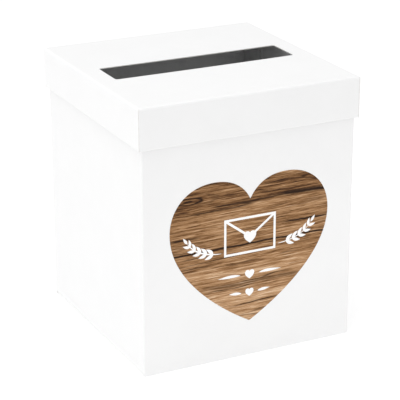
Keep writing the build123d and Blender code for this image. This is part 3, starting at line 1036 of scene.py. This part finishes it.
class Pen(Enum):
    """How a line of ink gets its width."""

    EVEN = "one width, with mitred corners"
    NIB = "wide across the nib, thin along it and at its ends"
    LEAF = "widest a little before its middle, and pointed at both ends"


@dataclass(frozen=True)
class Swash:
    """A stroke whose bend changes evenly along its length.

    Its heading is the first heading plus the bend summed along the way, and its points are the sum of
    steps in that heading.
    """

    start: tuple[float, float]  # first point, x and z, mm
    heading: float  # first heading in degrees; 0 is to the right and 90 up
    length: float  # mm
    # bend at the start and at the end, degrees per mm, to the left if positive
    bends: tuple[float, float] = (0.0, 0.0)

    def headings(self, steps: int) -> np.ndarray:
        """Heading at each of the steps, degrees."""
        s = np.linspace(0, self.length, steps)
        return self.heading + self.bends[0] * s + (self.bends[1] - self.bends[0]) * s**2 / (2 * self.length)

    def path(self, steps: int = 60) -> np.ndarray:
        """Points x 2 along the stroke, mm."""
        heading = np.radians(self.headings(steps))
        step = np.stack([np.cos(heading), np.sin(heading)], axis=-1) * self.length / (steps - 1)
        way = np.cumsum((step[1:] + step[:-1]) / 2, axis=0)
        return np.array(self.start) + np.vstack([[0, 0], way])


@dataclass
class InkOrnament(SubAssembly):
    """A drawing in raised white ink on the label: an envelope between two leafy sprigs, over hearts."""

    ink: float = 0.05  # height of the ink over the label, mm
    nib: float = 35.0  # angle of the pen's nib, degrees
    middle: float = 114.0  # height of the envelope's middle, mm
    envelope: tuple[float, float] = (48.0, 32.0)  # its width and height, mm
    line: float = 2.1  # width of its lines, mm
    sprig: Swash = Swash((27.5, 101.0), 2.0, 37.0, (0.7, 2.2))  # a right-hand sprig's stem
    leaves: int = 5  # pairs of leaves on a stem
    # length of the longest and shortest leaf, and width over length
    leaf: tuple[float, float, float] = (9.5, 7.0, 0.36)
    leaf_span: tuple[float, float] = (0.22, 0.88)  # shares of the stem where the first and last pair sit
    leaf_turn: float = 42.0  # angle between a leaf and its stem, degrees
    leaf_bends: tuple[float, float] = (-1.5, -4.5)  # how a leaf bends back to its stem, degrees per mm
    stem: float = 1.5  # width of a stem, mm
    # the envelope's flap: how far it stops short at the sides and at the top, mm, and how far its tip is
    # under the middle, over half the envelope's height
    flap: tuple[float, float, float] = (1.0, 0.8, 0.12)
    seal: tuple[float, float] = (7.5, 12.0)  # how far the seal's tip is under the middle, and its width, mm
    # for each row its name, height, width of its heart and length of its rules, mm
    rows: tuple[tuple[str, float, float, float], ...] = (
        ("upper", 77.0, 9.0, 22.0),
        ("lower", 60.0, 8.0, 12.0),
    )
    # heading of a rule, degrees, its bends, and its width, mm
    rule: tuple[float, tuple[float, float], float] = (10.0, (-1.6, 0.8), 2.6)
    layer: float = 0.003  # how much each layer of ink lifts, mm

    def build(self) -> None:
        """Draws the envelope, the sprigs and the two rows below."""
        x, z = np.array(self.envelope) / 2
        middle = np.array([0.0, self.middle])
        short, under, tip = self.flap
        rim = self.stroke(middle + np.array([(-x, -z), (x, -z), (x, z), (-x, z), (-x, -z)]), self.line)
        fold = np.array([(short - x, z - under), (0.0, -tip * z), (x - short, z - under)])
        drop, width = self.seal
        seal = self.heart((0.0, self.middle - drop), width)
        self.add([rim, self.stroke(middle + fold, self.line, layer=1), seal], "ink_envelope", "box")
        for hand, name in ((-1, "left"), (1, "right")):
            self.add(self.sprig_shells(hand), f"ink_{name}_sprig", "box")
        for name, *sizes in self.rows:
            self.add(self.row(*sizes), f"ink_{name}_row", "box")

    def sprig_shells(self, hand: int) -> list[BoardShell]:
        """A stem, its pairs of leaves and the leaf at its tip.

        Args:
            hand: 1 for the right-hand sprig, -1 for its mirror image.

        Returns:
            One shell for each stroke.
        """
        longest, shortest, slim = self.leaf
        path, headings = self.sprig.path(61), self.sprig.headings(61)
        shells = [self.stroke(path * (hand, 1), self.stem, Pen.NIB)]
        for number, share in enumerate(np.linspace(*self.leaf_span, self.leaves)):
            at = int(round(share * 60))
            length = longest + (shortest - longest) * share
            for turn in (-1, 1):
                bends = (turn * self.leaf_bends[0], turn * self.leaf_bends[1])
                blade = Swash(tuple(path[at]), headings[at] + turn * self.leaf_turn, length, bends)
                shells.append(self.stroke(blade.path(24) * (hand, 1), slim * length, Pen.LEAF, number + 1))
        tip = Swash(tuple(path[-1]), headings[-1], shortest)
        return [*shells, self.stroke(tip.path(24) * (hand, 1), slim * shortest, Pen.LEAF, 1)]

    def row(self, height: float, heart: float, rule: float) -> list[BoardShell]:
        """A small heart between two tapering rules.

        Args:
            height: Of the row's middle, mm.
            heart: Width of the heart, mm.
            rule: Length of a rule, mm.

        Returns:
            One shell for each.
        """
        heading, bends, width = self.rule
        path = Swash((heart, height), heading, rule, bends).path()
        rules = [self.stroke(path * (hand, 1), width, Pen.LEAF) for hand in (-1, 1)]
        return [self.heart((0.0, height - 0.45 * heart), heart), *rules]

    def stroke(
        self, path: np.ndarray, width: float, pen: Pen = Pen.EVEN, layer: int = 0
    ) -> BoardShell:
        """Lays a line of ink along a path.

        Across the path, a point is the path plus or minus half the width along its normal, and the ink's
        surface falls off with the square of that share. A mitred corner is wider by one over the cosine of
        half its turn. A nib's width goes with the sine of the angle between stroke and nib, times the root
        of sin(pi t) at the share t of the way. A leaf's goes with sin(pi t^0.8).

        Args:
            path: Points x 2, mm.
            width: Largest width, mm.
            pen: How the width changes.
            layer: Lifts the ink a little for each layer, so that crossings stay clean.

        Returns:
            The shell.
        """
        share = np.linspace(0, 1, len(path))
        tangent = np.gradient(path, axis=0)
        tangent /= np.linalg.norm(tangent, axis=1, keepdims=True)
        closed = np.allclose(path[0], path[-1])
        if pen is Pen.EVEN:
            steps = np.diff(path, axis=0)
            steps /= np.linalg.norm(steps, axis=1, keepdims=True)
            before = np.vstack([steps[-1:] if closed else steps[:1], steps])
            after = np.vstack([steps, steps[:1] if closed else steps[-1:]])
            tangent = before + after
            tangent /= np.linalg.norm(tangent, axis=1, keepdims=True)
            half = width / 2 / (tangent * after).sum(axis=1)
        elif pen is Pen.NIB:
            slant = np.arctan2(tangent[:, 1], tangent[:, 0]) - np.radians(self.nib)
            swell = np.sqrt(np.clip(np.sin(np.pi * share), 0.01, 1))
            half = width / 2 * (0.45 + 0.55 * np.abs(np.sin(slant))) * swell
        else:
            half = width / 2 * np.clip(np.sin(np.pi * share**0.8), 0.02, 1)
        normal = np.stack([-tangent[:, 1], tangent[:, 0]], axis=-1)
        across = np.linspace(-1, 1, 5)[:, None, None]
        flat = path + across * half[:, None] * normal
        shell = self.lift(flat[:, :-1] if closed else flat, np.abs(across), layer)
        shell.wraps = closed
        return shell

    def heart(self, tip: tuple[float, float], width: float) -> BoardShell:
        """Fills a small heart with ink: rings from its hub to its outline, on the top layer."""
        outline = heart_outline(width, 0.9 * width, 10) + np.array(tip)
        hub = np.array(tip) + (0.0, 0.52 * width)
        share = np.linspace(0, 1, 4)[:, None, None]
        shell = self.lift(hub + share * (outline - hub), share, self.leaves + 1)
        shell.wraps = True
        return shell

    def lift(self, flat: np.ndarray, edge: np.ndarray, layer: int) -> BoardShell:
        """Gives a flat grid of ink its crowned surface over the label.

        Args:
            flat: Rows x columns x 2, mm.
            edge: 0 at the ink's middle and 1 at its edge.
            layer: Number of the layer.

        Returns:
            The shell.
        """
        label = extent("heart_label")[0][1]
        ink = self.ink + self.layer * layer
        crown = np.broadcast_to(label - ink * (1 - 0.5 * edge**2), (*flat.shape[:2], 1))
        face = np.concatenate([flat[..., :1], crown, flat[..., 1:]], axis=-1)
        back = face.copy()
        back[..., 1] = label
        return BoardShell(face, back)


# ---- studio ------------------------------------------------------------------------------------------
@dataclass(frozen=True)
class SoftLight:
    """A rectangular soft light."""

    name: str  # its name
    place: tuple[float, float, float]  # where it stands, metres
    size: tuple[float, float]  # its width and height, metres
    watts: float  # its power
    aim: tuple[float, float, float] = (0.0, 0.0, 0.12)  # what it points at, metres

    def build(self) -> None:
        """Puts the light into the scene."""
        data = bpy.data.lights.new(self.name, "AREA")
        data.shape = "RECTANGLE"
        data.size, data.size_y = self.size
        data.energy = self.watts
        light = link_object(self.name, data)
        light.location = self.place
        light.rotation_euler = (Vector(self.place) - Vector(self.aim)).to_track_quat("Z", "Y").to_euler()


@dataclass(frozen=True)
class Studio:
    """Floor, lights, backdrop light and camera."""

    azimuth: float = -26.44  # the camera's direction from the front, degrees; negative is to the left
    elevation: float = 20.68  # its height angle, degrees
    distance: float = 1528.4  # from the aim, mm
    aim: tuple[float, float, float] = (0.0, 0.0, 121.0)  # the point that it is set out from, mm
    shift: tuple[float, float] = (2.24, -9.15)  # how far it is moved right and up, mm
    lens: float = 151.3  # focal length on a 36 mm wide frame, mm
    ambient: float = 0.785  # mean strength of the light from all round
    # how much stronger it is from one side: the strength is the mean times (1 + lean . direction)
    lean: tuple[float, float, float] = (-0.2, 0.12, 0.3)
    white: float = 1.1  # strength of the backdrop as the camera sees it
    floor: float = 8.0  # side of the floor, m
    floor_top: float = -0.05  # height of the floor, mm, a hair under the box
    floor_depth: float = 5.0  # thickness of the floor, mm
    lights: tuple[SoftLight, ...] = (
        SoftLight("top_light", (-0.3, -0.25, 1.4), (0.8, 0.8), 3.25),
        SoftLight("left_light", (-1.2, -0.1, 0.27), (0.8, 0.4), 0.78),
        SoftLight("front_light", (0.12, -1.3, 0.72), (0.5, 0.3), 0.75),
        SoftLight("floor_light", (0.06, -0.28, 0.04), (0.5, 0.06), 0.04, (0.06, -0.1, 0.04)),
    )

    def build(self) -> None:
        """Sets up the whole studio."""
        self.camera()
        self.backdrop()
        self.lay_floor()
        for light in self.lights:
            light.build()

    def camera(self) -> None:
        """Sets the camera at its angles: it looks along minus back, without roll."""
        a, e = np.radians([self.azimuth, self.elevation])
        back = Vector((np.sin(a) * np.cos(e), -np.cos(a) * np.cos(e), np.sin(e)))
        right = Vector((np.cos(a), np.sin(a), 0.0))
        up = back.cross(right)
        data = bpy.data.cameras.new("camera")
        data.lens = self.lens
        data.sensor_width = 36.0
        data.clip_end = 50.0
        camera = link_object("camera", data)
        place = Vector(self.aim) + back * self.distance + right * self.shift[0] + up * self.shift[1]
        turned = Matrix((right, up, back)).transposed().to_4x4()
        camera.matrix_world = Matrix.Translation(place * MM) @ turned
        bpy.context.scene.camera = camera

    def backdrop(self) -> None:
        """Lights the scene from all round, in front of a white backdrop."""
        world = bpy.data.worlds.new("soft_white_studio")
        world.use_nodes = True
        tree = world.node_tree
        tree.nodes.clear()
        add = partial(add_node, tree)
        direction = add("ShaderNodeTexCoord").outputs["Generated"]
        leaning = add("ShaderNodeVectorMath", (direction, self.lean), operation="DOT_PRODUCT")
        strength = add(MATH, (leaning, self.ambient, self.ambient), operation="MULTIPLY_ADD")
        light, white = (
            add("ShaderNodeBackground", {"Color": linear("#FFFFFF"), "Strength": value})
            for value in (strength, self.white)
        )
        seen = add("ShaderNodeLightPath").outputs["Is Camera Ray"]
        mix = add("ShaderNodeMixShader", (seen, light, white))
        add("ShaderNodeOutputWorld", {"Surface": mix})
        bpy.context.scene.world = world
        bpy.context.scene.view_settings.view_transform = "Standard"

    def lay_floor(self) -> None:
        """Lays the floor just under the box."""
        half = self.floor / MM / 2
        box = ((-half, -half, self.floor_top - self.floor_depth), (half, half, self.floor_top))
        slab = flap_shell(box, (2, 1), (0, 0))
        build_piece("studio_floor", [slab], [LitFloor().material()] * 3)


def main() -> None:
    """Builds the box, the label and the studio, and reports each piece."""
    logging.basicConfig(level=logging.INFO, format="%(name)s: %(message)s")
    board = [finish.material() for finish in (COATED_FACE, BARE_BACK, CUT_EDGE)]
    label_paper = LABEL_EDGE.material()
    ink = WHITE_INK.material()
    assemblies: list[SubAssembly] = [
        BodyBlank(board),
        BaseFlaps(board),
        LidBlank(board),
        HeartLabel([WoodPrint().material(), label_paper, label_paper], "heart_label"),
        InkOrnament([ink, ink, ink], "label_print"),
    ]
    for assembly in assemblies:
        assembly.build()
        for piece in assembly.pieces:
            log.info("%s %s: %d faces", type(assembly).__name__, piece.name, len(piece.data.polygons))
    Studio().build()


if __name__ == "__main__":
    main()
